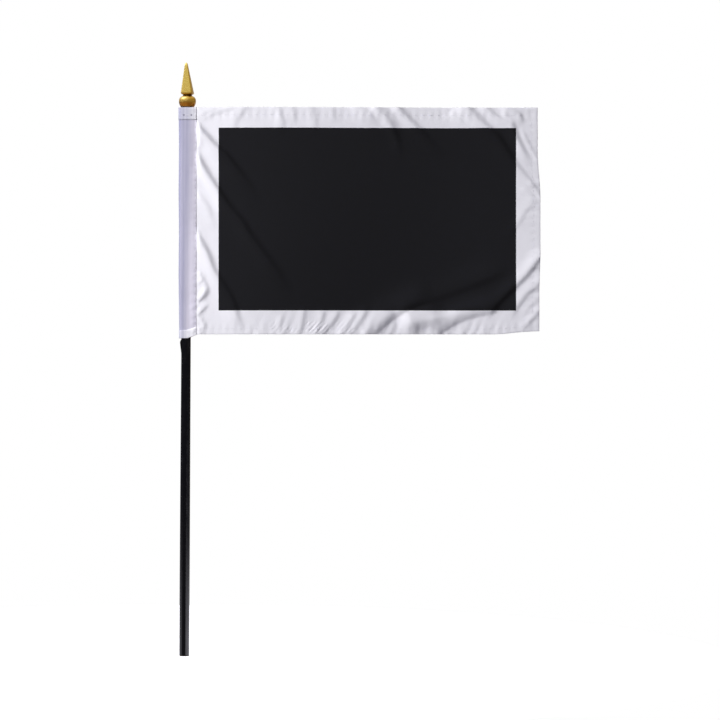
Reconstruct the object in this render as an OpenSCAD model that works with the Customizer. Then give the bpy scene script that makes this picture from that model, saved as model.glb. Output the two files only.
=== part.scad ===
// Stick flag: a small cloth flag whose hoist edge is sewn into a loose sleeve round a thin
// moulded staff, with a gold spear finial on top. The staff's lower end plugs into a stand.
// Millimetres, +Z up the staff, +X out along the fly, origin at the foot of the staff.

/* [Staff] */
// Height of the shoulder that the finial sits on
staff_height = 246.8; // [230:0.2:280]
// Diameter of the straight lower end that goes into a stand
foot_d = 4.55; // [4:0.05:4.6]
// Length of that straight lower end
foot_length = 25; // [15:1:40]
// Diameter just below the finial
staff_top_d = 4; // [3.6:0.1:4]
// How far the moulded stop stands out of the staff
stop_proud = 0.55; // [0.4:0.05:0.8]

/* [Finial] */
// Diameter of the ball at its widest
ball_d = 7.64; // [7.2:0.02:8.4]
// Height of the ball between its two flats
ball_height = 5.1; // [4.6:0.1:5.4]
// Diameter of the waist between the ball and the spear
neck_d = 4; // [3.6:0.1:4.2]
// Length of one side of the spear's square base
spear_side = 5.05; // [4.6:0.05:6]
// Height of the spear from its widest place to its tip
spear_height = 13.4; // [10:0.1:16]
// How far the spear is turned clockwise, seen from its tip, in degrees
spear_turn = 10; // [0:1:45]
// How far the spear leans over towards the hoist, in degrees
spear_lean = 2.6; // [0:0.2:4]

/* [Flag] */
// Height of the cloth from its lower hem to its upper one
hoist = 101.8; // [80:0.2:110]
// Length of the cloth from the sleeve to the fly edge
fly = 153.8; // [120:0.2:170]
// Thickness of one layer of cloth
cloth_t = 0.3; // [0.2:0.05:0.4]
// Width of the sleeve when it is seen from the front
sleeve_w = 7.8; // [7.4:0.1:9]
// Space between the staff and the sleeve all round
sleeve_slack = 0.45; // [0.4:0.05:0.5]
// Depth of the turned hem at the top edge
top_hem = 5.6; // [4:0.1:7]
// Depth of the turned hem at the bottom edge
bottom_hem = 3.6; // [3:0.1:6]
// Depth of the turned hem at the fly edge
fly_hem = 5; // [4:0.1:7]

/* [Stitching] */
// Distance from one needle hole to the next
stitch_pitch = 3.4; // [2.4:0.1:4]
// Width of the sewing thread
thread_w = 0.3; // [0.2:0.05:0.4]
// Height of the thread above the cloth
thread_t = 0.15; // [0.1:0.05:0.2]

/* [Hidden] */
$fn = 64;

// Staff
foot_chamfer = 0.4;
spigot_d = 2.4;
spigot_length = 5;
stop_width = 1.4;
stop_height = 6.2;
stop_shoulder = 1.2;
stop_flat = 0.5;
stop_gap = 0.6;
gate_d = 1;
gate_proud = 0.12;
gate_z = 114.3;

// Finial, measured up from the staff's shoulder
glue_gap = 0.03;
ball_arc_r = 3.2;
ball_arc_z = ball_height / 2 - 0.05;
neck_height = 0.7;
spear_base_z = ball_height + neck_height;
spear_bevel = 0.75;
spear_tip_r = 0.55;

// Flag
finial_gap = 0.4;
flag_top = staff_height - finial_gap;
flag_bottom = flag_top - hoist;
sleeve_drop = 1.6;
sleeve_bottom = flag_bottom - sleeve_drop;
seam_margin = 0.9;
bore_r = staff_top_d / 2 + sleeve_slack;
sleeve_back_x = -3.3;
sleeve_front_x = sleeve_back_x + sleeve_w;
fold_x = sleeve_front_x - seam_margin;
fly_x = sleeve_front_x + fly;

// Stitching
stitch_length = 0.72 * stitch_pitch;
top_line = 3.5;
bottom_line = 2.4;
fly_line = 3;

// Point just inside the circle of radius r round the origin, where a line from [d, h] runs into it
function touch(r, d, h) =
    let (inner = 0.98 * r, a = acos(inner / norm([d, h])) + atan2(h, d)) [inner * cos(a), inner * sin(a)];

// Places of the stitches along a seam of this length, centred on it
function stitches(length) =
    let (count = floor((length - stitch_length) / stitch_pitch) + 1,
         first = (length - (count - 1) * stitch_pitch) / 2)
    [for (i = [0 : count - 1]) first + i * stitch_pitch];

// Radius of the staff at a height, which tapers from the straight foot up to the shoulder
function staff_r(z) =
    let (taper_start = foot_chamfer + foot_length)
    (foot_d - (foot_d - staff_top_d) * max(z - taper_start, 0) / (staff_height - taper_start)) / 2;

module staff_blank() {
    rotate_extrude()
        polygon([[0, 0],
                 [foot_d / 2 - foot_chamfer / 2, 0],
                 [foot_d / 2, foot_chamfer],
                 [foot_d / 2, foot_chamfer + foot_length],
                 [staff_top_d / 2, staff_height],
                 [spigot_d / 2, staff_height],
                 [spigot_d / 2, staff_height + spigot_length],
                 [0, staff_height + spigot_length]]);
}

// Ramped nib that the sleeve is pushed up over and then rests on
module sleeve_stop() {
    top = sleeve_bottom - stop_gap;
    root = staff_r(top) - stop_proud;
    reach = staff_r(top) + stop_proud;
    rotate([90, 0, 0])
        linear_extrude(stop_width, center = true)
            polygon([[-root, top - stop_height],
                     [-root, top],
                     [-staff_r(top) + 0.05, top],
                     [-reach, top - stop_shoulder],
                     [-reach, top - stop_shoulder - stop_flat],
                     [-staff_r(top), top - stop_height]]);
}

// Low round mark where the plastic entered the mould
module gate_mark() {
    translate([0, 0, gate_z])
        rotate([90, 0, 0])
            cylinder(h = staff_r(gate_z) + gate_proud, d = gate_d);
}

module staff() {
    color([0.03, 0.03, 0.035])
    union() {
        staff_blank();
        sleeve_stop();
        gate_mark();
    }
}

module ball() {
    rotate_extrude()
        intersection() {
            translate([ball_d / 2 - ball_arc_r, ball_arc_z])
                circle(r = ball_arc_r);
            square([ball_d, ball_height]);
        }
    cylinder(h = ball_height, d = ball_d - 2 * (ball_arc_r - ball_height / 2));
}

// One side view of the spear: a tall triangle with a rounded tip and a bevelled foot
module spear_outline() {
    half = spear_side / 2;
    tip_z = spear_bevel + spear_height - spear_tip_r;
    slope = atan2(half - spear_tip_r, tip_z - spear_bevel);
    polygon([[-half + spear_bevel, 0],
             [half - spear_bevel, 0],
             [half, spear_bevel],
             [spear_tip_r * cos(slope), tip_z + spear_tip_r * sin(slope)],
             [-spear_tip_r * cos(slope), tip_z + spear_tip_r * sin(slope)],
             [-half, spear_bevel]]);
    translate([0, tip_z])
        circle(r = spear_tip_r);
}

module spear() {
    rotate([0, -spear_lean, 0])
        rotate([0, 0, -spear_turn])
            intersection() {
                rotate([90, 0, 0])
                    linear_extrude(2 * spear_side, center = true) spear_outline();
                rotate([90, 0, 90])
                    linear_extrude(2 * spear_side, center = true) spear_outline();
            }
}

module finial() {
    color([0.78, 0.62, 0.26])
    translate([0, 0, staff_height])
        difference() {
            union() {
                ball();
                cylinder(h = spear_base_z + spear_bevel, d = neck_d);
                translate([0, 0, spear_base_z]) spear();
            }
            translate([0, 0, -1])
                cylinder(h = spigot_length + 1 + glue_gap, d = spigot_d + 2 * glue_gap);
        }
}

// Flat cloth with its three hems turned to the back
module flag_cloth() {
    color([0.93, 0.92, 0.96])
    union() {
        translate([sleeve_front_x, -cloth_t / 2, flag_bottom])
            cube([fly, cloth_t, hoist]);
        translate([sleeve_front_x, 0, flag_top - top_hem])
            cube([fly, 1.5 * cloth_t, top_hem]);
        translate([sleeve_front_x, 0, flag_bottom])
            cube([fly, 1.5 * cloth_t, bottom_hem]);
        translate([fly_x - fly_hem, 0, flag_bottom])
            cube([fly_hem, 1.5 * cloth_t, hoist]);
    }
}

// Outline of the folded sleeve from above: round the staff, pinched at the back and closed by the seam
module sleeve_outline(grow) {
    r = bore_r + grow;
    back = [sleeve_back_x + cloth_t - grow, max(grow, 0.01)];
    front = [fold_x, max(grow, 0.01)];
    back_touch = touch(r, -back[0], back[1]);
    front_touch = touch(r, front[0], front[1]);
    circle(r = r);
    polygon([front, front_touch, [front_touch[0], -front_touch[1]], [front[0], -front[1]]]);
    polygon([[back[0], -back[1]], [-back_touch[0], -back_touch[1]],
             [-back_touch[0], back_touch[1]], back]);
    if (grow > 0)
        translate([0, -grow])
            square([sleeve_front_x, 2 * grow]);
}

module staff_sleeve() {
    color([0.75, 0.73, 0.84])
    translate([0, 0, sleeve_bottom])
        linear_extrude(flag_top - sleeve_bottom)
            difference() {
                sleeve_outline(cloth_t);
                sleeve_outline(0);
            }
}

// One stitch, as the needle thread on the cloth's front and the bobbin thread on its back
module stitch_pair(size, front_y, back_y) {
    translate([-size[0] / 2, front_y - thread_t, -size[2] / 2]) cube(size);
    translate([-size[0] / 2, back_y, -size[2] / 2]) cube(size);
}

module level_seam(z) {
    for (x = stitches(fly))
        translate([sleeve_front_x + x, 0, z])
            stitch_pair([stitch_length, thread_t, thread_w], -cloth_t / 2, 1.5 * cloth_t);
}

module upright_seam(x, front_y, back_y) {
    for (z = stitches(hoist - top_line - bottom_line))
        translate([x, 0, flag_bottom + bottom_line + z])
            stitch_pair([thread_w, thread_t, stitch_length], front_y, back_y);
}

module sleeve_seam_thread() {
    color("white")
        upright_seam(sleeve_front_x - seam_margin / 2, -cloth_t, cloth_t);
}

module top_hem_thread() {
    color("white")
        level_seam(flag_top - top_line);
}

module bottom_hem_thread() {
    color("white")
        level_seam(flag_bottom + bottom_line);
}

module fly_hem_thread() {
    color("white")
        upright_seam(fly_x - fly_line, -cloth_t / 2, 1.5 * cloth_t);
}

staff();
finial();
flag_cloth();
staff_sleeve();
sleeve_seam_thread();
top_hem_thread();
bottom_hem_thread();
fly_hem_thread();
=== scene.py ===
"""The looks of a small stick flag: one cut sheet of white satin cloth with a black print, hemmed on
three sides and sewn into a sleeve round a black plastic staff with a gold ball-and-spear finial.

Lengths are millimetres until a mesh is made. "out" runs along the fly away from the staff's axis,
"up" is the height above the staff's foot, and "lift" is the distance towards the camera, along -Y.
"""

import math
from collections import namedtuple

import bpy
import numpy as np
from mathutils import Matrix, Vector


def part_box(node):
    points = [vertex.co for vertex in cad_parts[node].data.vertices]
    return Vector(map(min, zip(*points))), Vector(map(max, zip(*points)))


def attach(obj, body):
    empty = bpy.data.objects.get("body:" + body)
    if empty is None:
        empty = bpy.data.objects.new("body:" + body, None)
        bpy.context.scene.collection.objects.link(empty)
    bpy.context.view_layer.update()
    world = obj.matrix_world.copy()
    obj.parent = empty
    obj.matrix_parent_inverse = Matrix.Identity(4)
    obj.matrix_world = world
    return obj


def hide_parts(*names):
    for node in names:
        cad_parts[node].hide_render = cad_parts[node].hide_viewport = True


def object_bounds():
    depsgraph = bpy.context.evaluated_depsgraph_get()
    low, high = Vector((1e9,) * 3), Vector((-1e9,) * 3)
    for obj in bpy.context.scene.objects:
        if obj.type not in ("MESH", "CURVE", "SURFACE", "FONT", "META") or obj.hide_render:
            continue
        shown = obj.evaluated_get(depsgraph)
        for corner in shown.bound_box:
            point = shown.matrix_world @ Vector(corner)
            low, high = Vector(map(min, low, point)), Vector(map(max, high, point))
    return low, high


MM = 0.001
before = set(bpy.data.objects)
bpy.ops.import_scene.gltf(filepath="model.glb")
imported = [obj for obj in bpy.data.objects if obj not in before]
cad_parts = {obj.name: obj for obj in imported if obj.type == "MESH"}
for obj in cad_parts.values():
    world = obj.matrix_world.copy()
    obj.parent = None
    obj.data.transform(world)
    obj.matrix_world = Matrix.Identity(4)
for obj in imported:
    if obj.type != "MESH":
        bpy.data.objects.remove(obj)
cad_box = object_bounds()


def box_mm(node):
    """The lowest and highest corner of a CAD node, in millimetres."""
    low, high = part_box(node)
    return np.array(low) / MM, np.array(high) / MM


def middle(node, axis):
    """The middle of a CAD node along one axis, in millimetres."""
    low, high = box_mm(node)
    return (low[axis] + high[axis]) / 2


X, Y, Z = 0, 1, 2
panel_low, panel_high = box_mm("flag_cloth")
sleeve_low, _ = box_mm("staff_sleeve")
finial_low, _ = box_mm("finial")

# The cloth
CLOTH = 0.09            # thickness of one ply
PLY = 0.11              # from the middle of one ply to the middle of the next
TOP = panel_high[Z]
BOTTOM = panel_low[Z]
FLY = panel_high[X]
FOLD = sleeve_low[X]    # the sleeve's fold on the far side of the staff
SEAM = middle("sleeve_seam_thread", X)
FLANGE = 0.45           # how far the sleeve's front ply runs past its seam
TOP_HEM = 5.6
BOTTOM_HEM = 3.6
FLY_HEM = 5.0
SLEEVE_DROP = 1.8       # how far the sleeve hangs below the panel's bottom edge
STAFF_R = 2.05
TUBE_R = STAFF_R + 0.42  # the middle of the ply where it passes over the staff
TILT = math.radians(0.33)  # the cloth is sewn on very slightly askew
TILT_UP = (TOP + BOTTOM) / 2
BOXINESS = 4.0         # 2 would be a true ellipse
SEAM_FORWARD = 2.3     # how much nearer the camera than the staff's axis the seam and panel lie
FOOT_FORWARD = 0.45    # and how much more near the foot

# The print, as margins from the cloth's outline
PRINT_LEFT = 14.5
PRINT_RIGHT = FLY - 10.3
PRINT_TOP = TOP - 9.2
PRINT_BOTTOM = BOTTOM + 10.6

# The stitching. Needle holes are a stitch apart, from these places on.
STITCH_PITCH = 3.4
HOLE_OUT = -1.1
HOLE_UP = BOTTOM + 1.0
THREAD_R = 0.08
TOP_LINE = TOP - 3.5
BOTTOM_LINE = BOTTOM + 2.4
FLY_LINE = FLY - 3.0


def smooth(value, start, end):
    """0 before start, 1 after end, and an even S-curve between."""
    t = np.clip((value - start) / (end - start), 0, 1)
    return t * t * (3 - 2 * t)


def bump(value, width):
    return np.exp(-((value / width) ** 2))


# Folds in the panel. Each is a ridge whose steep side faces right and whose gentle side faces the
# light. A pair of sizes runs from the route's start to its end, and fades are shares of its length.
# A route's points are (out from the staff's axis, down from the top edge).
# A sharp fold's steep side ends in a sudden foot, which lies on the route.
Fold = namedtuple("Fold", "height steep gentle fade_in fade_out route sharp", defaults=[False])

FOLDS = [
    # long creases that fan out from the sleeve's seam
    Fold((2.1, 0.45), (1.5, 1.9), (3, 6), 0.0, 0.5,
         [(3.6, 6), (9, 12), (14, 17.5), (18.5, 21.5), (23, 27), (28.5, 34), (33, 42), (34.5, 48)]),
    Fold((1.7, 0.9), (1.4, 2.3), (2.5, 5), 0.0, 0.3,
         [(3.6, 18), (8.5, 27), (13.5, 35), (19.5, 43.8), (25.5, 51), (29.5, 57.5), (37.5, 68),
          (43, 75.5), (50, 87)]),
    Fold(0.5, 1.4, (1.5, 3), 0.0, 0.6, [(4, 37.2), (7.5, 40.5), (11, 46.5), (13.5, 56)]),
    Fold((1.5, 0.7), (1.4, 1.7), (2.5, 5), 0.0, 0.2,
         [(3.7, 54.6), (9.5, 64), (13, 73), (17.5, 80), (21.5, 87), (24, 95), (27.5, 102)]),
    # short wrinkles beside the seam
    Fold(0.35, 0.6, 1, 0.0, 0.5, [(4, 10), (6.5, 14), (8, 19)]),
    Fold(0.3, 0.5, 0.9, 0.0, 0.5, [(4, 12.5), (5.5, 15), (7, 19)]),
    Fold(0.3, 0.6, 1, 0.0, 0.5, [(3.8, 15), (5.5, 18), (6, 21)]),
    Fold(0.3, 0.6, 1, 0.0, 0.5, [(4, 31), (6, 34)]),
    Fold(0.6, 0.9, 1.6, 0.2, 0.3, [(4.5, 72), (8, 77), (9.8, 82), (8.5, 85), (5, 87.5)]),
    Fold(0.5, 0.8, 1.5, 0.1, 0.4, [(4, 88.5), (7, 85.5), (10.5, 80)]),
    Fold(0.5, 0.7, 1.3, 0.1, 0.4, [(4, 94.5), (7.5, 91), (11, 88)]),
    Fold(0.5, 0.7, 1.4, 0.0, 0.4, [(4, 91.5), (8, 96.5), (10, 100)]),
    Fold(0.4, 0.7, 1.3, 0.0, 0.4, [(4, 96), (6, 99), (6.5, 102)]),
    Fold(0.3, 0.6, 1.2, 0.0, 0.4, [(4, 80), (6, 79), (8, 76.5)]),
    # faint rays and ripples that hang from the top hem
    Fold(0.3, 0.9, 2, 0.1, 0.4, [(22, 0.5), (13, 3), (6, 7)]),
    Fold(0.25, 0.9, 2, 0.1, 0.4, [(14, 0.5), (9, 2.5), (5, 5)]),
    Fold(0.4, 1.4, 4, 0.0, 0.6, [(27, 0), (23, 6), (21, 13)]),
    Fold(0.4, 1.1, 3, 0.0, 0.6, [(41.5, 0), (43.5, 5), (44.5, 13)]),
    Fold(0.3, 1.0, 3, 0.0, 0.6, [(48, 0), (49.5, 8)]),
    Fold(0.3, 1.2, 3, 0.0, 0.6, [(57, 0), (58.5, 8), (58.5, 14)]),
    Fold(0.25, 1.2, 3, 0.0, 0.6, [(66, 0), (68, 8)]),
    Fold(0.7, 1.4, 4, 0.0, 0.7, [(78.5, 0), (83, 3), (87, 9)]),
    Fold((0.8, 0.6), 1.7, 2.2, 0.0, 0.6, [(86.2, 0), (90.3, 4), (93, 8.5), (95.6, 15), (97.5, 25)]),
    Fold((0.8, 0.3), 1.8, 9, 0.0, 0.7, [(89.5, 0), (93, 4), (95.8, 8.5), (98.5, 14)]),
    Fold((1.2, 0.6), 1.6, 3, 0.0, 0.7, [(96, 0), (99.5, 4), (104, 8.5), (109.5, 14), (118.5, 23)]),
    Fold(0.3, 1.2, 3, 0.1, 0.6, [(119, 1), (123, 5), (128, 11)]),
    Fold((1.7, 0.35), (2.4, 1.1), 5, 0.0, 0.15,
         [(127.7, 0), (132.2, 4.5), (136.7, 9), (141.2, 13.5), (145.6, 20), (148.6, 25), (153, 31),
          (158.5, 38)]),
    Fold(0.9, 1.3, 3, 0.0, 0.3, [(135.8, 0), (140.3, 4), (147, 8), (150, 14.5), (153, 20), (157, 26)]),
    Fold(0.7, 1.0, 3, 0.0, 0.5, [(145.5, 0), (150, 2.5), (153, 8)]),
    Fold(0.35, 0.8, 1.6, 0.2, 0.3, [(142, 1), (146, 4.5), (149, 9)]),
    Fold(0.3, 0.7, 1.5, 0.3, 0.0, [(151, 8), (154, 15), (158.5, 23)]),
    # creases along the fly
    Fold(0.35, 0.8, 1.6, 0.3, 0.0, [(153.5, 32), (156.5, 36), (159, 40)]),
    Fold(0.25, 0.9, 2, 0.3, 0.3, [(149, 35), (153, 37), (157, 41)]),
    Fold(0.28, 1.1, 3, 0.1, 0.6, [(158, 42), (153, 45.5), (150, 50.5), (146, 56.5), (143.5, 63)]),
    Fold((0.92, 0.75), (1.3, 1.5), (3, 4), 0.0, 0.25,
         [(158.2, 68), (152.7, 75.5), (147.8, 80.8), (144.1, 84.3), (140.1, 88.3), (136, 93.7),
          (133.3, 97)]),
    Fold(0.5, 1.2, 3, 0.0, 0.4, [(159, 79.5), (153.5, 84), (149, 90), (145, 97)]),
    Fold(0.4, 0.9, 2, 0.0, 0.2, [(159, 92.5), (154.5, 97.5), (151, 101.5)]),
    Fold(0.15, 0.8, 1.6, 0.0, 0.3, [(159, 86), (154, 91), (151, 96)]),
    # creases into the bottom hem
    Fold((0.85, 0.35), (2.4, 2.0), 6, 0.3, 0.3,
         [(147, 72.4), (136, 77.4), (123, 82.4), (110, 86.9), (101, 90.4)]),
    Fold(1.25, 3.6, 6, 0.3, 0.0,
         [(113, 87), (104, 89.5), (97.5, 92.5), (91.5, 96.5), (84.5, 103)], True),
    Fold((1.0, 3.7), (1.6, 6.6), 7, 0.35, 0.3,
         [(119, 93.7), (111, 96.4), (104, 99), (96, 102)]),
    Fold(1.25, 4.2, 4, 0.3, 0.0, [(141.6, 92), (130.4, 94.2), (122, 97.2), (115, 101.5)], True),
    Fold(0.6, 1.2, 3, 0.4, 0.0, [(83, 88), (79, 95), (74, 102)]),
    Fold(0.55, 1.1, 2.5, 0.3, 0.0, [(77, 91), (74, 96), (70, 102)]),
    Fold(0.44, 1.1, 2.5, 0.3, 0.0, [(69.5, 90), (66.5, 96), (61, 102)]),
    Fold(0.45, 1.0, 2.5, 0.3, 0.0, [(62.5, 90), (61, 96), (58, 102)]),
    Fold(0.36, 1.0, 2.5, 0.3, 0.0, [(54, 89), (52.5, 96), (51, 102)]),
    Fold(0.3, 1.0, 2, 0.4, 0.0, [(44, 92), (42, 102)]),
]


def curve_through(route, per_span=6):
    """Points along a smooth curve through a route's points."""
    points = np.array(route, float)
    padded = np.vstack([2 * points[0] - points[1], points, 2 * points[-1] - points[-2]])
    curve = []
    for i in range(len(points) - 1):
        a, b, c, d = padded[i:i + 4]
        for t in np.linspace(0, 1, per_span, endpoint=False):
            curve.append(0.5 * (2 * b + (c - a) * t + (2 * a - 5 * b + 4 * c - d) * t**2
                                + (3 * b - a - 3 * c + d) * t**3))
    return np.vstack([curve, points[-1]])


def along_fold(size, share):
    """A fold's size at a share of its length. The size is one number, or a pair for start and end."""
    start, end = np.broadcast_to(size, 2)
    return start + (end - start) * share


def fold_lift(fold, out, up):
    """How far one fold lifts the cloth at the given places."""
    curve = curve_through([(x, TOP - down) for x, down in fold.route])
    reach = 2.5 * np.max([*np.ravel(fold.steep), *np.ravel(fold.gentle)])
    near = (out > curve[:, 0].min() - reach) & (out < curve[:, 0].max() + reach)
    near &= (up > curve[:, 1].min() - reach) & (up < curve[:, 1].max() + reach)
    lift = np.zeros_like(out)
    place = np.stack([out[near], up[near]], 1)
    lengths = np.linalg.norm(np.diff(curve, axis=0), axis=1)
    travelled = np.concatenate([[0], np.cumsum(lengths)])
    best = np.full(len(place), np.inf)
    side = np.zeros(len(place))
    along = np.zeros(len(place))
    for start, end, length, before in zip(curve[:-1], curve[1:], lengths, travelled, strict=False):
        step = (end - start) / length
        right = np.array([abs(step[1]), -step[0] * np.sign(step[1] or -1)])
        offset = place - start
        t = np.clip(offset @ step, 0, length)
        distance = np.linalg.norm(offset - t[:, None] * step, axis=1)
        closer = distance < best
        best[closer] = distance[closer]
        side[closer] = np.sign(offset[closer] @ right)
        along[closer] = ((before + t) / travelled[-1])[closer]
    # the crest lies left of the route, so that the steep side's middle lies on it
    steep = along_fold(fold.steep, along)
    from_crest = side * best + (1.0 if fold.sharp else 0.7) * steep
    width = np.where(from_crest > 0, steep, along_fold(fold.gentle, along))
    profile = bump(from_crest, width)
    if fold.sharp:
        profile = np.where(from_crest > 0, np.maximum(1 - (from_crest / steep) ** 2, 0), profile)
    strength = np.ones(len(place))
    if fold.fade_in:
        strength = strength * smooth(along, 0, fold.fade_in)
    if fold.fade_out:
        strength = strength * (1 - smooth(along, 1 - fold.fade_out, 1))
    lift[near] = along_fold(fold.height, along) * strength * profile
    return lift


def wave(value, length, phase=0.0):
    return np.sin(2 * np.pi * (value / length + phase))


def fold_line(up):
    """The sleeve's far fold: it narrows a little towards the bottom."""
    return FOLD - 0.17 + 0.15 * (1 - smooth(up, BOTTOM - 2, BOTTOM + 14)) + 0.08 * wave(up, 37, 0.1)


def stitch_pull(across, along):
    """The groove and the small puckers that a row of stitches pulls into the cloth."""
    groove = -0.03 * bump(across, 0.6)
    pucker = 0.05 * wave(along, STITCH_PITCH) * bump(across, 2.2)
    return groove + pucker


def hem_ripple(along, edge_distance, strength):
    """Small uneven ripples that run in from a sewn edge."""
    ripple = wave(along, 5.3, 0.1) + 0.8 * wave(along, 8.9, 0.4) + 0.6 * wave(along, 3.7, 0.7)
    patches = 0.5 + 0.5 * wave(along, 43, 0.3)
    return strength * ripple * patches * np.exp(-np.maximum(edge_distance, 0) / 4.5)


def panel_lift(out, up):
    """How far folds, ripples and stitching lift the panel's cloth towards the camera."""
    across = (out - SEAM) / (FLY - SEAM)
    upward = (up - BOTTOM) / (TOP - BOTTOM)
    lift = 0.5 * wave(across, 0.9) * wave(upward, 1.7, 0.1)
    for fold in FOLDS:
        lift = lift + fold_lift(fold, out, up)
    lift = lift + hem_ripple(out + 0.25 * (TOP - up), TOP - up, 0.05)
    lift = lift + hem_ripple(out - 0.5 * (up - BOTTOM), up - BOTTOM, 0.13)
    lift = lift + hem_ripple(up, FLY - out, 0.06)
    lift = lift + stitch_pull(up - TOP_LINE, out) + stitch_pull(up - BOTTOM_LINE, out)
    lift = lift + stitch_pull(out - FLY_LINE, up)
    return lift


def billow(out):
    """The panel swells towards the camera beside the seam and falls back towards the fly."""
    beyond = np.maximum(out - SEAM, 0)
    swell = 3.6 * (1 - np.exp(-beyond / 24)) - 0.42 * (1 - np.exp(-beyond / 3))
    return swell - 5.5 * smooth(out, 25, 120) + 0.8 * smooth(out, 120, FLY)


def seam_lift(out, up):
    """The puckers along the sleeve's seam, stronger near the bottom."""
    across = out - SEAM
    amount = 1 + 0.8 * smooth(BOTTOM + 35 - up, 0, 25)
    return amount * stitch_pull(across, up)


def cloth_lift(out, up):
    """The panel rises beside the sleeve's flange, which presses the cloth under it down."""
    beyond = out - SEAM
    free = smooth(beyond, -0.2, 2.2)
    beside_flange = smooth(beyond, FLANGE, FLANGE + 1.2) * (1 - smooth(beyond, 2, 9))
    beside_flange = PLY * (0.6 + in_hem(up)) * beside_flange
    return beside_flange + billow(out) + free * panel_lift(out, up) + seam_lift(out, up)


def staff_centre(up):
    """Where the staff's axis lies in the tilted cloth's own frame."""
    return (up - TILT_UP) * math.sin(TILT)


def tube_half(out, up):
    """Half the depth of the sleeve's opening: a rounded box on the fold's side of the staff, and an
    easy slope down to the seam on the other."""
    left = staff_centre(up) - fold_line(up)
    x = out - staff_centre(up)
    radius = TUBE_R + 0.06 * wave(up, 29, 0.3) + 0.04 * wave(up, 11.3, 0.6)
    boxy = np.maximum(1 - np.clip(-x / left, 0, 1) ** BOXINESS, 0) ** (1 / BOXINESS)
    return radius * np.where(x < 0, boxy, 1 - past_staff(out, up))


def past_staff(out, up):
    """0 up to the staff's crest and 1 from the seam on."""
    return smooth(out - staff_centre(up), 0.9, SEAM - staff_centre(up))


def ply_place(side, out, up):
    """A point of the cloth's middle surface before any hem is turned. side is -1 on the sleeve's
    front ply and 1 on its back ply and the panel."""
    over = np.where(side < 0, PLY * smooth(out, fold_line(up), SEAM), 0.0)
    forward = SEAM_FORWARD + FOOT_FORWARD * smooth(TOP - up, 20, 80)
    lift = over + forward * past_staff(out, up) + cloth_lift(out, up)
    y = side * tube_half(out, up) - lift
    return np.stack([out, y, up], -1)


def ply_back(side, out, up):
    """The direction out of the cloth's back, which is the sleeve's outside."""
    small = 0.03
    here = ply_place(side, out, up)
    along = side[..., None] * (ply_place(side, out + small, up) - here)
    upward = ply_place(side, out, up + small) - here
    normal = -np.cross(along, upward)
    return normal / np.linalg.norm(normal, axis=-1, keepdims=True)


def pulled_outline(places):
    """The cut isn't a true rectangle: its fly bows out and its bottom edge lifts at the fly."""
    out, up = places[..., 0], places[..., 2]
    near_fly = smooth(out, FLY - 40, FLY)
    near_foot = 1 - smooth(up, BOTTOM, BOTTOM + 30)
    bow = near_fly * (1.17 * smooth(TOP - up, 20, 40) - 0.5 * smooth(TOP - up, 64, 84) - 0.62)
    corner = 1.5 * smooth(out, FLY - 21, FLY)
    drop = SLEEVE_DROP * (1 - smooth(out, FOLD + 3, SEAM + 2))
    places = places.copy()
    places[..., 0] += bow
    places[..., 2] += near_foot * (corner - drop)
    return places


def in_frame(places):
    """Tilts the cloth a little about the staff and turns millimetres into metres."""
    out, y, up = places[..., 0], places[..., 1], places[..., 2] - TILT_UP
    x = out * math.cos(TILT) - up * math.sin(TILT)
    z = TILT_UP + out * math.sin(TILT) + up * math.cos(TILT)
    return np.stack([x, y, z], -1) * MM


def turned_edge(hem, straight, steps_in_turn, steps_in_hem):
    """(flat position, angle turned, run past the turn) for each grid line from the start of a turned
    edge to its raw edge. straight is where the turn begins."""
    lines = [(straight, math.pi * i / steps_in_turn, 0.0) for i in range(1, steps_in_turn + 1)]
    return lines + [(straight, math.pi, hem * i / steps_in_hem) for i in range(1, steps_in_hem + 1)]


def cloth_rows():
    """The grid's rows from the bottom hem's raw edge up to the top hem's: flat height, turn, run."""
    foot = BOTTOM + PLY / 2
    head = TOP - PLY / 2
    bottom = [(at, -turn, run) for at, turn, run in turned_edge(BOTTOM_HEM, foot, 4, 6)]
    top = turned_edge(TOP_HEM, head, 4, 9)
    flat = [(at, 0.0, 0.0) for at in np.linspace(foot, head, 148)]
    return bottom[::-1] + flat + top


def sleeve_place(share, up):
    """How far out a share of the way from the sleeve's fold to its seam lies: even steps round the
    boxy side, then even steps to the seam."""
    left = staff_centre(up) - fold_line(up)
    right = SEAM - staff_centre(up)
    angle = np.minimum(share, 0.5) * math.pi
    boxy_x = -left * np.maximum(np.cos(angle), 0) ** (2 / BOXINESS)
    return staff_centre(up) + np.where(share < 0.5, boxy_x, (2 * share - 1) * right)


def cloth_columns():
    """The grid's columns from the sleeve's front raw edge, round the staff and out to the fly hem:
    side, share of the sleeve's width, run past the seam, turn, run in the hem."""
    around = np.linspace(0, 1, 21)
    front_flange = [(-1, 1.0, run, 0.0, 0.0) for run in np.linspace(FLANGE, 0, 3)[:-1]]
    front = [(-1, share, 0.0, 0.0, 0.0) for share in around[::-1]]
    back = [(1, share, 0.0, 0.0, 0.0) for share in around[1:]]
    reach = FLY - PLY / 2 - SEAM
    under_flange = np.linspace(0, FLANGE, 3)[1:-1]
    panel = [(1, 1.0, run, 0.0, 0.0) for run in [*under_flange, *np.linspace(FLANGE, reach, 218)]]
    fly = [(1, 1.0, reach, turn, run) for _, turn, run in turned_edge(FLY_HEM, reach, 4, 8)]
    return front_flange + front + back + panel + fly


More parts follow.
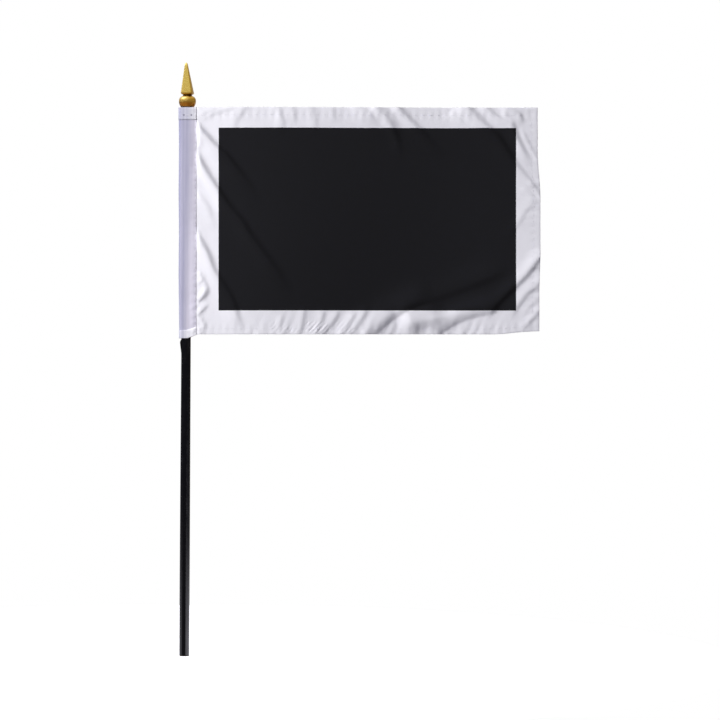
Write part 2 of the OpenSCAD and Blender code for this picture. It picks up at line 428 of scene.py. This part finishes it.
def cloth_points():
    """Every grid point of the folded sheet's middle surface, as rows by columns by 3."""
    rows = cloth_rows()
    columns = cloth_columns()
    flat_up = np.array([r[0] for r in rows])[:, None]
    row_turn = np.array([r[1] for r in rows])[:, None]
    row_run = np.array([r[2] for r in rows])[:, None]
    side, share, run, fly_turn, fly_run = (np.array(c)[None, :] for c in zip(*columns, strict=True))
    size = (len(rows), len(columns))

    half = PLY / 2
    fly_shift = half * np.sin(fly_turn) - fly_run
    fly_back = half * (1 - np.cos(fly_turn))
    under = smooth(run + fly_shift, FLY - SEAM - FLY_HEM - 1.5, FLY - SEAM - FLY_HEM) * (run > 1)
    radius = half + 2 * half * under
    row_back = fly_back * np.cos(row_turn) + radius * (1 - np.cos(row_turn))
    up = flat_up + (radius - fly_back) * np.sin(row_turn) - np.sign(row_turn) * row_run
    up = np.broadcast_to(up, size)
    side = np.broadcast_to(side, size).astype(float)
    out = sleeve_place(share, up) + run + fly_shift
    places = ply_place(side, out, up)
    return places + row_back[..., None] * ply_back(side, out, up)


def grid_normals(places):
    """The direction out of the sheet's back at every grid point."""
    across = np.gradient(places, axis=1)
    upward = np.gradient(places, axis=0)
    normal = -np.cross(across, upward)
    return normal / np.linalg.norm(normal, axis=-1, keepdims=True)


def cloth_mesh(name):
    """The folded sheet as a closed mesh, one ply thick. Material 0 is its face, 1 its back."""
    middle_points = cloth_points()
    back_way = grid_normals(middle_points)
    face = pulled_outline(middle_points - back_way * CLOTH / 2)
    back = pulled_outline(middle_points + back_way * CLOTH / 2)
    rows, columns = face.shape[:2]
    count = rows * columns
    vertices = in_frame(np.concatenate([face.reshape(-1, 3), back.reshape(-1, 3)]))
    number = np.arange(count).reshape(rows, columns)
    corner = number[:-1, :-1].ravel()
    face_quads = np.stack([corner, corner + 1, corner + columns + 1, corner + columns], 1)
    back_quads = face_quads[:, [0, 3, 2, 1]] + count
    edges = [number[0], number[:, -1], number[-1, ::-1], number[::-1, 0]]
    rim_quads = []
    for edge in edges:
        rim_quads.append(np.stack([edge[1:], edge[:-1], edge[:-1] + count, edge[1:] + count], 1))
    quads = np.concatenate([face_quads, back_quads, *rim_quads])
    mesh = bpy.data.meshes.new(name)
    mesh.from_pydata(vertices.tolist(), [], quads.tolist())
    slot_numbers = np.zeros(len(quads), np.int32)
    slot_numbers[len(face_quads):2 * len(face_quads)] = 1
    mesh.polygons.foreach_set("material_index", slot_numbers)
    smooth_shaded = np.ones(len(quads), bool)
    smooth_shaded[2 * len(face_quads):] = False
    mesh.polygons.foreach_set("use_smooth", smooth_shaded)
    mesh.update()
    return mesh


def add_object(name, mesh, *materials):
    thing = bpy.data.objects.new(name, mesh)
    bpy.context.scene.collection.objects.link(thing)
    for material in materials:
        mesh.materials.append(material)
    return thing


def skin(rings):
    """A closed skin over rings of points, as vertices and faces. Seen from the last ring, the points
    of each run anticlockwise."""
    sides = len(rings[0])
    faces = []
    for ring in range(len(rings) - 1):
        for i in range(sides):
            a = ring * sides + i
            b = ring * sides + (i + 1) % sides
            faces.append((a, b, b + sides, a + sides))
    faces.append(tuple(range(sides))[::-1])
    faces.append(tuple(range((len(rings) - 1) * sides, len(rings) * sides)))
    return np.concatenate(rings), faces


def joined(name, skins, material, place=lambda points: points * MM):
    """One smooth-shaded object from closed skins. place turns their points into metres."""
    points = np.concatenate([vertices for vertices, _ in skins])
    faces = []
    used = 0
    for vertices, skin_faces in skins:
        faces += [tuple(i + used for i in face) for face in skin_faces]
        used += len(vertices)
    mesh = bpy.data.meshes.new(name)
    mesh.from_pydata(place(points).tolist(), [], faces)
    mesh.polygons.foreach_set("use_smooth", [True] * len(faces))
    mesh.update()
    return add_object(name, mesh, material)


# The staff

SHOULDER = finial_low[Z]
FOOT_R = 2.275
TOP_R = 2.0
CHAMFER = 0.4
FOOT_LENGTH = 25
TAPER_START = CHAMFER + FOOT_LENGTH
SPIGOT_R, SPIGOT_LENGTH = 1.2, 5
STOP_GAP = 0.4
STOP_TOP = BOTTOM - SLEEVE_DROP - STOP_GAP
STOP_HEIGHT = 6.2
STOP_SHOULDER = 1.2
STOP_FLAT = 0.5
STOP_PROUD = 0.55
STOP_WIDTH = 1.4
GATE_UP, GATE_R, GATE_PROUD = 114.3, 0.5, 0.12


def staff_radius(up):
    return FOOT_R + (TOP_R - FOOT_R) * (up - TAPER_START) / (SHOULDER - TAPER_START)


def round_points(radius, sides=64):
    """Points round a circle, as two rows: rightwards and upwards."""
    angle = 2 * np.pi * (np.arange(sides) + 0.5) / sides
    return radius * np.cos(angle), radius * np.sin(angle)


def facing_camera(rightwards, upwards, lift):
    """A ring of points in an upright plane."""
    return np.stack([rightwards, np.full(len(rightwards), -lift), upwards], 1)


def staff_skins():
    """The tapered staff with its spigot, the ramped stop under the sleeve and the gate mark."""
    profile = [(0, FOOT_R - CHAMFER / 2), (CHAMFER, FOOT_R), (TAPER_START, FOOT_R), (SHOULDER, TOP_R),
               (SHOULDER, SPIGOT_R), (SHOULDER + SPIGOT_LENGTH, SPIGOT_R)]
    rings = []
    for up, radius in profile:
        x, y = round_points(radius)
        rings.append(np.stack([x, y, np.full(len(x), up)], 1))
    side = staff_radius(STOP_TOP)
    left = np.array([side - STOP_PROUD, side - STOP_PROUD, side - 0.05, side + STOP_PROUD,
                     side + STOP_PROUD, side])
    down = np.array([STOP_HEIGHT, 0, 0, STOP_SHOULDER, STOP_SHOULDER + STOP_FLAT, STOP_HEIGHT])
    stop = [facing_camera(-left, STOP_TOP - down, lift) for lift in (-STOP_WIDTH / 2, STOP_WIDTH / 2)]
    x, z = round_points(GATE_R)
    gate = [facing_camera(x, GATE_UP + z, lift) for lift in (0, staff_radius(GATE_UP) + GATE_PROUD)]
    return [skin(rings), skin(stop), skin(gate)]


# The finial

# Level sections from the shoulder up: height, half of the width, and how square the outline is
# (2 is a circle). The ball and waist curve through theirs, and the spear is straight between its.
BALL_SECTIONS = [
    (0.0, 2.95, 2), (0.2, 3.14, 2), (0.8, 3.45, 2), (1.6, 3.73, 2), (2.5, 3.82, 2), (3.4, 3.72, 2),
    (4.0, 3.42, 2), (4.5, 2.95, 2), (4.85, 2.35, 2), (5.1, 2.02, 2), (5.4, 2.05, 2.3),
    (5.65, 2.3, 4), (5.85, 2.52, 7)]
SPEAR_SECTIONS = [
    (6.0, 2.6, 9), (6.2, 2.6, 10), (6.6, 2.52, 10), (19.3, 0.6, 6), (19.6, 0.45, 4), (19.85, 0.22, 2),
    (19.93, 0.05, 2)]
WAIST = 5.15
SPEAR_FOOT = 5.8
SPEAR_TURN = math.radians(-10)
SPEAR_LEAN = math.tan(math.radians(2.6))


def finial_rings():
    """Height, half width and squareness of every ring of points, from the shoulder up."""
    height, width, square = np.array(SPEAR_SECTIONS).T
    steps = np.unique(np.concatenate([height, np.arange(7, 19, 0.8)]))
    spear = np.stack([steps, np.interp(steps, height, width), np.interp(steps, height, square)], 1)
    return np.concatenate([curve_through(BALL_SECTIONS, 5), spear])


def finial_skin(sides=96):
    """Ball, waist and leaning four-sided spear as one closed loft."""
    angle = 2 * np.pi * (np.arange(sides) + 0.5) / sides
    rings = []
    for above, half, power in finial_rings():
        reach = half / (np.abs(np.cos(angle)) ** power + np.abs(np.sin(angle)) ** power) ** (1 / power)
        lean = SPEAR_LEAN * max(above - SPEAR_FOOT, 0)
        x = reach * np.cos(angle + SPEAR_TURN) - lean
        y = reach * np.sin(angle + SPEAR_TURN)
        rings.append(np.stack([x, y, np.full(sides, SHOULDER + above)], 1))
    return skin(rings)


# Stitches

def thread_skin(path, sides=8):
    """A round-ended piece of thread along a short path."""
    rings = []
    angle = 2 * np.pi * np.arange(sides)[:, None] / sides
    steps = np.gradient(path, axis=0)
    shares = np.linspace(-1, 1, len(path))
    for centre, step, share in zip(path, steps, shares, strict=True):
        first = np.cross(step, [0.31, 0.52, 0.79])
        first /= np.linalg.norm(first)
        second = np.cross(step, first)
        second /= np.linalg.norm(second)
        radius = THREAD_R * math.sqrt(max(1 - abs(share) ** 6, 0.02))
        rings.append(centre + radius * (np.cos(angle) * first + np.sin(angle) * second))
    return skin(rings)


def stitches_between(start, end, hole):
    """One row of places for each whole stitch between start and end, along its thread."""
    first = math.ceil((start - hole) / STITCH_PITCH)
    last = math.floor((end - hole) / STITCH_PITCH)
    middles = hole + STITCH_PITCH * (np.arange(first, last) + 0.5)
    return middles[:, None] + 0.46 * STITCH_PITCH * np.linspace(-1, 1, 11)


def stitch_row(side, out, up, away, plies):
    """The paths of a row of stitches: up through the cloth, along it and down again. away is 1 on the
    cloth's back and -1 on its face, and plies is how many turned plies they lie on."""
    out, up = np.broadcast_arrays(out, up)
    side = np.full(out.shape, float(side))
    rise = np.sin(np.pi * np.linspace(0, 1, out.shape[1])) ** 0.5
    above = plies * PLY + CLOTH / 2 + THREAD_R * 0.3 * rise - 0.3 * (1 - rise)
    return ply_place(side, out, up) + away * above[..., None] * ply_back(side, out, up)


def level_row(side, start, end, up, away, plies):
    return stitch_row(side, stitches_between(start, end, HOLE_OUT), up, away, plies)


def upright_row(side, out, start, end, away, plies=None):
    up = stitches_between(start, end, HOLE_UP)
    return stitch_row(side, out, up, away, in_hem(up) if plies is None else plies)


def in_hem(up):
    """1 where the top or the bottom hem doubles the cloth, and 0 elsewhere."""
    top = smooth(up, TOP - TOP_HEM - 0.3, TOP - TOP_HEM + 0.3)
    return top + 1 - smooth(up, BOTTOM + BOTTOM_HEM - 0.3, BOTTOM + BOTTOM_HEM + 0.3)


def hem_rows(up):
    """A level hem's stitches: round the sleeve's outside, then on both faces of the panel."""
    round_sleeve = [level_row(side, FOLD + 0.3, SEAM - 0.2, up, 1, 1) for side in (-1, 1)]
    on_panel = [level_row(1, SEAM + FLANGE, FLY_LINE, up, away, plies) for away, plies in ((-1, 0), (1, 1))]
    return round_sleeve + on_panel


def sewn(name, paths, material):
    """One row's stitches as a single object."""
    skins = [thread_skin(path) for path in np.concatenate(paths)]
    return joined(name, skins, material, lambda points: in_frame(pulled_outline(points)))


# Materials

class Finish:
    """A Principled material with short names for the nodes that feed it. Lengths are millimetres."""

    def __init__(self, name, **sockets):
        self.material = bpy.data.materials.new(name)
        self.material.use_nodes = True
        self.tree = self.material.node_tree
        self.surface = self.tree.nodes["Principled BSDF"]
        for socket, value in sockets.items():
            self.surface.inputs[socket.replace("_", " ")].default_value = value
        self.millimetres = None

    def node(self, kind, inputs=(), **settings):
        made = self.tree.nodes.new(kind)
        for key, value in settings.items():
            setattr(made, key, value)
        for socket, value in dict(inputs).items():
            if isinstance(value, bpy.types.NodeSocket):
                self.tree.links.new(value, made.inputs[socket])
            else:
                made.inputs[socket].default_value = value
        return made

    def math(self, operation, *values):
        return self.node("ShaderNodeMath", enumerate(values), operation=operation).outputs[0]

    def place(self):
        """Object coordinates in millimetres."""
        if self.millimetres is None:
            metres = self.node("ShaderNodeTexCoord").outputs["Object"]
            scaled = self.node("ShaderNodeVectorMath", {0: metres, "Scale": 1 / MM}, operation="SCALE")
            self.millimetres = scaled.outputs[0]
        return self.millimetres

    def xyz(self):
        return self.node("ShaderNodeSeparateXYZ", {0: self.place()}).outputs

    def stretched(self, scale):
        made = self.node("ShaderNodeVectorMath", {0: self.place(), 1: scale}, operation="MULTIPLY")
        return made.outputs[0]

    def step(self, value, start, end, low=0.0, high=1.0):
        """low before start, high after end, smooth between."""
        made = self.node("ShaderNodeMapRange", {0: value, 1: start, 2: end, 3: low, 4: high},
                         interpolation_type="SMOOTHSTEP")
        return made.outputs[0]

    def noise(self, size, detail=3.0, stretch=(1, 1, 1)):
        """Noise from 0 to 1 whose patches are about size millimetres across."""
        made = self.node("ShaderNodeTexNoise", {"Vector": self.stretched(stretch), "Scale": 1 / size,
                                                "Detail": detail})
        return made.outputs[0]

    def bands(self, value, pitch):
        """A ripple from -1 to 1 that repeats every pitch millimetres of value."""
        return self.math("SINE", self.math("MULTIPLY", value, 2 * math.pi / pitch))

    def mixed(self, share, first, second, blend="MIX"):
        made = self.node("ShaderNodeMix", {0: share, 6: first, 7: second}, data_type="RGBA",
                         blend_type=blend)
        return made.outputs[2]

    def feed(self, socket, value):
        self.tree.links.new(value, self.surface.inputs[socket])

    def relief(self, height, depth, strength=1.0, under=None):
        """A bump whose height runs over depth millimetres."""
        inputs = {"Height": height, "Distance": depth * MM, "Strength": strength}
        if under is not None:
            inputs["Normal"] = under
        return self.node("ShaderNodeBump", inputs).outputs[0]


def colour(red, green, blue):
    return (red, green, blue, 1.0)


STAFF_SHADE_TONE = (0.30, 0.30, 0.44)  # painted shade: the tone the cloth is given where it lies over the black staff


def cloth_place(finish):
    """out and up in the tilted cloth's own frame."""
    x, _, z = finish.xyz()
    above = finish.math("SUBTRACT", z, TILT_UP)
    out = finish.math("MULTIPLY_ADD", above, math.sin(TILT), x)
    up = finish.math("MULTIPLY_ADD", x, -math.sin(TILT), z)
    return out, up


def between(finish, value, start, end, soft):
    """1 from start to end and 0 outside, with soft edges."""
    rising = finish.step(value, start - soft, start + soft)
    falling = finish.step(value, end - soft, end + soft, 1.0, 0.0)
    return finish.math("MULTIPLY", rising, falling)


def needle_holes(finish, along, hole, across, size):
    """1 in a row of small round holes a stitch apart, and 0 elsewhere."""
    stitches = finish.math("MULTIPLY_ADD", along, 1 / STITCH_PITCH, 0.5 - hole / STITCH_PITCH)
    turns = finish.math("FRACT", stitches)
    from_hole = finish.math("MULTIPLY", finish.math("SUBTRACT", turns, 0.5), STITCH_PITCH)
    reach = finish.math("SQRT", finish.math("ADD", finish.math("POWER", from_hole, 2.0),
                                            finish.math("POWER", across, 2.0)))
    return finish.step(reach, size * 0.4, size, 1.0, 0.0)


def cloth_finish(name, white, ink, roughness):
    """Satin cloth: thread-fine weave, slightly uneven tone, the black print, needle holes along the seams
    with painted shade in them, small gathers, and painted shade with painted wrinkle streaks where the
    sleeve lies over the black staff, in place of the staff showing through."""
    finish = Finish(name, Specular_IOR_Level=0.03)
    out, up = cloth_place(finish)
    x, _, z = finish.xyz()
    cloudy = finish.noise(9, 4)
    wrinkle_shade_streaks = finish.noise(1.0, 3, stretch=(1, 0.6, 0.015))
    tone = finish.mixed(finish.step(cloudy, 0.3, 0.7), colour(*white),
                        colour(*(c * 0.97 for c in white)))

    # Painted shade where the sleeve lies over the black staff, standing in for the dark staff showing
    # through the thin cloth. Its edge lies further towards the fold lower down.
    in_sleeve = finish.step(out, SEAM - 0.8, SEAM + 0.6, 1.0, 0.0)
    across = finish.math("MULTIPLY_ADD", finish.math("SUBTRACT", TOP, up), 0.022, x)
    shade = finish.step(across, 0.2, 4.0, 0.65, 0.0)
    cuff = BOTTOM + BOTTOM_HEM - SLEEVE_DROP
    top_cuff = TOP - TOP_HEM
    # the painted shade is stronger at the far edge, where it also darkens the side turned to the key light,
    # and weaker where a hem's second ply lies over the staff
    for edge in (finish.step(x, -3.5, -2.0, 1.5, 1.0), finish.step(up, cuff - 0.2, cuff + 0.2, 0.75, 1.0),
                 finish.step(up, top_cuff - 0.2, top_cuff + 0.2, 1.0, 0.85)):
        shade = finish.math("MULTIPLY", shade, edge)
    # painted streaks of wrinkle shade in the sleeve
    shade = finish.math("ADD", shade, finish.step(wrinkle_shade_streaks, 0.3, 0.7, -0.12, 0.12))
    shade = finish.math("MULTIPLY", shade, in_sleeve)
    tone = finish.mixed(shade, tone, colour(*STAFF_SHADE_TONE))

    on_seam = finish.math("SUBTRACT", out, SEAM)
    on_top_line = finish.math("SUBTRACT", up, TOP_LINE)
    on_fly_line = finish.math("SUBTRACT", out, FLY_LINE)
    seam_holes = needle_holes(finish, up, HOLE_UP, on_seam, 0.4)
    hem_holes = needle_holes(finish, out, HOLE_OUT, on_top_line, 0.55)
    hem_holes = finish.math("MULTIPLY", hem_holes, finish.step(out, SEAM - 0.6, SEAM, 1.0, 0.0))
    fly_holes = needle_holes(finish, up, HOLE_UP, on_fly_line, 0.4)
    holes = finish.math("MAXIMUM", finish.math("MULTIPLY", seam_holes, 0.2),
                        finish.math("MULTIPLY", hem_holes, 0.7))
    holes = finish.math("MAXIMUM", holes, finish.math("MULTIPLY", fly_holes, 0.06))
    # painted shade in the needle holes, on top of the dimples that the bump sinks there
    tone = finish.mixed(holes, tone, colour(0.10, 0.09, 0.16))

    mask = finish.math("MULTIPLY", between(finish, out, PRINT_LEFT, PRINT_RIGHT, 0.12),
                       between(finish, up, PRINT_BOTTOM, PRINT_TOP, 0.12))
    finish.feed("Base Color", finish.mixed(mask, tone, colour(*ink)))
    finish.feed("Roughness", finish.math("MULTIPLY_ADD", cloudy, 0.12, roughness - 0.06))

    weave = finish.math("MULTIPLY", finish.bands(x, 0.42), finish.bands(z, 0.36))
    fuzz = finish.noise(0.8, 3, stretch=(1, 1, 0.5))
    fine = finish.relief(weave, 0.012, 0.5)
    fine = finish.relief(fuzz, 0.05, 0.5, under=fine)
    # gathers that lean to the right above the bottom hem, and crumples beside the foot of the seam
    leaning = finish.bands(finish.math("SUBTRACT", out, finish.math("MULTIPLY", up, 0.9)), 2.1)
    near_hem = between(finish, up, BOTTOM + 1, BOTTOM + 5.5, 1.0)
    gathers = finish.math("MULTIPLY", leaning, finish.math("MULTIPLY", near_hem,
                                                           between(finish, out, 40, 76, 6)))
    gathers = finish.math("MULTIPLY", gathers, finish.step(finish.noise(7, 2), 0.4, 0.65))
    fine = finish.relief(gathers, 0.1, 0.7, under=fine)
    beside_seam = finish.math("MULTIPLY", between(finish, out, SEAM - 2.0, SEAM + 4, 1.5),
                              finish.step(up, BOTTOM + 40, BOTTOM + 20, 0.0, 1.0))
    crumples = finish.math("MULTIPLY", finish.noise(1.7, 1), beside_seam)
    fine = finish.relief(crumples, 0.6, 0.45, under=fine)
    finish.feed("Normal", finish.relief(finish.math("MULTIPLY", holes, -1.0), 0.2, 0.6, under=fine))
    return finish.material


def thread_finish():
    """Sewing thread with a visible twist, as a bump and as bands of painted shade in the colour."""
    finish = Finish("sewing_thread", Roughness=0.55, Sheen_Weight=0.3)
    x, _, z = finish.xyz()
    diagonal = finish.math("ADD", x, z)
    twist = finish.bands(diagonal, 0.3)
    # painted shade: darker and lighter bands along the twist
    finish.feed("Base Color", finish.mixed(finish.step(twist, -1, 1), colour(0.74, 0.73, 0.80),
                                           colour(0.84, 0.83, 0.88)))
    finish.feed("Normal", finish.relief(twist, 0.03, 0.6))
    return finish.material


def staff_finish():
    """Gloss black moulded plastic with faint flow lines along the staff and light handling marks."""
    finish = Finish("staff_plastic", Specular_IOR_Level=0.7)
    flow = finish.noise(0.7, 3, stretch=(1, 1, 0.02))
    scuffs = finish.noise(2.2, 5, stretch=(1, 1, 0.4))
    finish.feed("Base Color", finish.mixed(finish.step(scuffs, 0.55, 0.8), colour(0.0012, 0.0012, 0.0014),
                                           colour(0.004, 0.004, 0.0045)))
    finish.feed("Roughness", finish.math("MULTIPLY_ADD", scuffs, 0.12, 0.06))
    finish.feed("Normal", finish.relief(flow, 0.03, 0.35))
    return finish.material


def gold_finish():
    """Metallised gold plastic: a soft mirror, with painted shade that turns it orange-brown low on the ball
    and at the spear's foot, and dark brown in the waist."""
    finish = Finish("finial_gold", Metallic=1.0, Specular_IOR_Level=0.5)
    mottle = finish.noise(1.3, 4)
    above = finish.math("SUBTRACT", finish.xyz()[Z], SHOULDER)
    # painted shade: orange-brown low on the ball and, more faintly, at the spear's foot, dark brown in the
    # waist; the mottle varies it at random
    low = finish.step(above, 0.8, 3.6, 1.0, 0.0)
    waist = between(finish, above, WAIST - 0.3, WAIST + 0.4, 0.35)
    foot = finish.math("MULTIPLY", finish.step(above, WAIST + 0.4, WAIST + 3.5, 1.0, 0.0), 0.35)
    brown = finish.math("MAXIMUM", low, foot)
    brown = finish.math("ADD", brown, finish.step(mottle, 0.3, 0.7, -0.1, 0.1))
    # gold, and the orange-brown and dark brown of the painted shade
    tone = finish.mixed(brown, colour(0.72, 0.53, 0.1), colour(0.46, 0.22, 0.03))
    finish.feed("Base Color", finish.mixed(waist, tone, colour(0.12, 0.05, 0.006)))
    belly = between(finish, above, 1.6, 3.6, 0.6)
    roughness = finish.math("MULTIPLY_ADD", belly, 0.16, 0.22)
    finish.feed("Roughness", finish.math("MULTIPLY_ADD", mottle, 0.1, roughness))
    finish.feed("Normal", finish.relief(finish.noise(1.2, 2), 0.012, 0.4))
    return finish.material


def floor_finish():
    """Plain white studio floor, slightly self-lit so that its shadows stay faint."""
    finish = Finish("studio_floor", Roughness=0.8, Specular_IOR_Level=0.1, Emission_Strength=0.8)
    finish.surface.inputs["Emission Color"].default_value = colour(1, 1, 1)
    finish.feed("Base Color", finish.mixed(finish.noise(40, 2), colour(0.86, 0.86, 0.86),
                                           colour(0.9, 0.9, 0.9)))
    return finish.material


# Build the cloth and its stitching

cloth_face = cloth_finish("cloth_face", (0.84, 0.83, 0.88), (0.0133, 0.0133, 0.0150), 0.5)
cloth_back = cloth_finish("cloth_back", (0.66, 0.63, 0.73), (0.02, 0.02, 0.022), 0.62)
thread = thread_finish()

cloth = add_object("folded_cloth", cloth_mesh("folded_cloth"), cloth_face, cloth_back)
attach(cloth, "flag")
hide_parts("flag_cloth", "staff_sleeve")


stitch_rows = {
    "sleeve_seam_thread": [
        upright_row(-1, SEAM, BOTTOM + 0.5, TOP - 0.5, 1),
        upright_row(1, SEAM, BOTTOM + 0.5, TOP - 0.5, 1)],
    "top_hem_thread": hem_rows(TOP_LINE),
    "bottom_hem_thread": hem_rows(BOTTOM_LINE),
    "fly_hem_thread": [
        upright_row(1, FLY_LINE, BOTTOM_LINE + 2, TOP_LINE - 2, -1, plies=0),
        upright_row(1, FLY_LINE, BOTTOM_LINE + 2, TOP_LINE - 2, 1, plies=1)],
}
for node, paths in stitch_rows.items():
    row = sewn("sewn_" + node, paths, thread)
    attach(row, "flag")
    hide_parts(node)


staff = joined("moulded_staff", staff_skins(), staff_finish())
sharp_edges = staff.modifiers.new("sharp_edges", "EDGE_SPLIT")
sharp_edges.split_angle = math.radians(20)
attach(staff, "staff")
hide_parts("staff")

finial = joined("gold_finial", [finial_skin()], gold_finish())
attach(finial, "staff")
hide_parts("finial")


# Stage, lights and camera

CAMERA_RAY, GLOSSY_RAY = 0, 3  # outputs of the Light Path node


def add_floor(radius):
    corners = 96
    vertices = [(0.0, 0.0, 0.0)]
    for i in range(corners):
        angle = 2 * math.pi * i / corners
        vertices.append((radius * math.cos(angle), radius * math.sin(angle), 0.0))
    faces = [(0, 1 + i, 1 + (i + 1) % corners) for i in range(corners)]
    mesh = bpy.data.meshes.new("studio_floor")
    mesh.from_pydata(vertices, [], faces)
    floor = add_object("studio_floor", mesh, floor_finish())
    floor.visible_diffuse = False
    floor.visible_glossy = False


def add_softbox(name, place, target, size, power):
    light = bpy.data.lights.new(name, "AREA")
    light.shape = "SQUARE"
    light.size = size
    light.energy = power
    lamp = bpy.data.objects.new(name, light)
    bpy.context.scene.collection.objects.link(lamp)
    lamp.visible_glossy = False
    lamp.location = place
    lamp.rotation_euler = (Vector(target) - Vector(place)).to_track_quat("-Z", "Y").to_euler()


def set_world(dim, patches, bench, ceiling, ground, window):
    """White to the camera. The object sees a dim room instead, with soft patches of light: each is a
    direction, the angles in degrees where it starts to fade and ends, and a colour. A pale bench
    that starts a little way off fills the view just below the horizon, on the right and behind.
    Glossy surfaces mirror a low and a high ceiling and a ground, each given by its colours on the left
    and right, and a bright window instead of the lamps."""
    world = bpy.data.worlds.new("studio")
    bpy.context.scene.world = world
    world.use_nodes = True
    tree = world.node_tree
    tree.nodes.clear()

    def node(kind, inputs=(), output=0, **settings):
        made = tree.nodes.new(kind)
        for key, value in settings.items():
            setattr(made, key, value)
        for socket, value in dict(inputs).items():
            if isinstance(value, bpy.types.NodeSocket):
                tree.links.new(value, made.inputs[socket])
            else:
                made.inputs[socket].default_value = value
        return made.outputs[output] if made.outputs else made

    def step(value, start, end, low=0.0, high=1.0):
        return node("ShaderNodeMapRange", {0: value, 1: start, 2: end, 3: low, 4: high},
                    interpolation_type="SMOOTHSTEP")

    def combined(operation, first, second):
        return node("ShaderNodeMath", {0: first, 1: second}, operation=operation)

    def mixed(share, first, second):
        return node("ShaderNodeMix", {0: share, 6: first, 7: second}, output=2, data_type="RGBA")

    def patch_share(patch):
        direction, full, gone, _ = patch
        facing = node("ShaderNodeVectorMath", {0: way, 1: Vector(direction).normalized()}, output=1,
                      operation="DOT_PRODUCT")
        return step(facing, math.cos(math.radians(gone)), math.cos(math.radians(full)))

    way = node("ShaderNodeTexCoord")
    room = colour(*dim)
    for patch in patches:
        room = mixed(patch_share(patch), room, colour(*patch[3]))
    sides = [node("ShaderNodeSeparateXYZ", {0: way}, output=axis) for axis in (X, Y, Z)]
    near_edge = step(sides[Z], -0.15, -0.12)
    far_edge = step(sides[Z], -0.12, -0.065, 1.0, 0.0)
    band = combined("MULTIPLY", near_edge, far_edge)
    ahead = node("ShaderNodeVectorMath", {0: way, 1: (-0.22, -0.97, 0.0)}, output=1, operation="DOT_PRODUCT")
    band = combined("MULTIPLY", band, step(ahead, 0.6, 0.85, 1.0, 0.0))
    band = combined("MULTIPLY", band, step(sides[X], -0.5, 0.5, 0.4, 1.0))
    room = mixed(band, room, colour(*bench))
    mirrored = node("ShaderNodeLightPath", output=GLOSSY_RAY)
    rightwards = step(sides[X], -0.3, 0.5)
    for sheet, start, end in ((ceiling[0], 0.045, 0.085), (ceiling[1], 0.38, 0.6), (ground, -0.13, -0.2)):
        plane = mixed(rightwards, colour(*sheet[0]), colour(*sheet[1]))
        room = mixed(combined("MULTIPLY", mirrored, step(sides[Z], start, end)), room, plane)
    room = mixed(combined("MULTIPLY", mirrored, patch_share(window)), room, colour(*window[3]))
    lit = node("ShaderNodeBackground", {"Color": room})
    white = node("ShaderNodeBackground", {"Color": colour(1, 1, 1)})
    to_camera = node("ShaderNodeLightPath", output=CAMERA_RAY)
    both = node("ShaderNodeMixShader", {0: to_camera, 1: lit, 2: white})
    node("ShaderNodeOutputWorld", {"Surface": both})


def add_camera():
    """A long lens straight in front, level, turned by the same small angle as the cloth's tilt."""
    low, high = (Vector(corner) for corner in cad_box)
    size = high - low
    centre = (low + high) / 2 + Vector((0.001, 0, 0.0001))
    lens = bpy.data.cameras.new("camera")
    lens.lens = 135
    lens.sensor_width = 36
    view_width = 1.2134 * size.z
    distance = view_width * lens.lens / lens.sensor_width
    camera = bpy.data.objects.new("camera", lens)
    bpy.context.scene.collection.objects.link(camera)
    level = Matrix.Rotation(math.pi / 2, 4, "X")
    roll = Matrix.Rotation(-TILT, 4, "Y")
    camera.matrix_world = Matrix.Translation((centre.x, -distance, centre.z)) @ roll @ level
    bpy.context.scene.camera = camera


add_floor(0.25)
add_softbox("key", (-0.80, -0.55, 0.58), (0.08, 0, 0.19), 0.55, 15.5)
add_softbox("fill", (0.10, -1.0, 0.55), (0.08, 0, 0.19), 0.6, 2.4)
add_softbox("back", (0.25, 1.0, 0.50), (0.08, 0, 0.19), 0.6, 6.0)
set_world(dim=(0.06, 0.058, 0.08),
          patches=[((0.4, 0.9, 0.1), 10, 40, (0.34, 0.3, 0.24))],
          bench=(2.6, 2.55, 2.85),
          ceiling=(((0.74, 0.72, 0.85), (0.4, 0.31, 0.2)), ((1.35, 1.4, 2.0), (0.78, 0.66, 0.5))),
          ground=((0.58, 0.44, 0.4), (0.33, 0.23, 0.17)),
          window=((-0.62, -0.2, 0.72), 12, 26, (5.0, 5.5, 12)))
add_camera()
bpy.context.scene.view_settings.view_transform = "Standard"
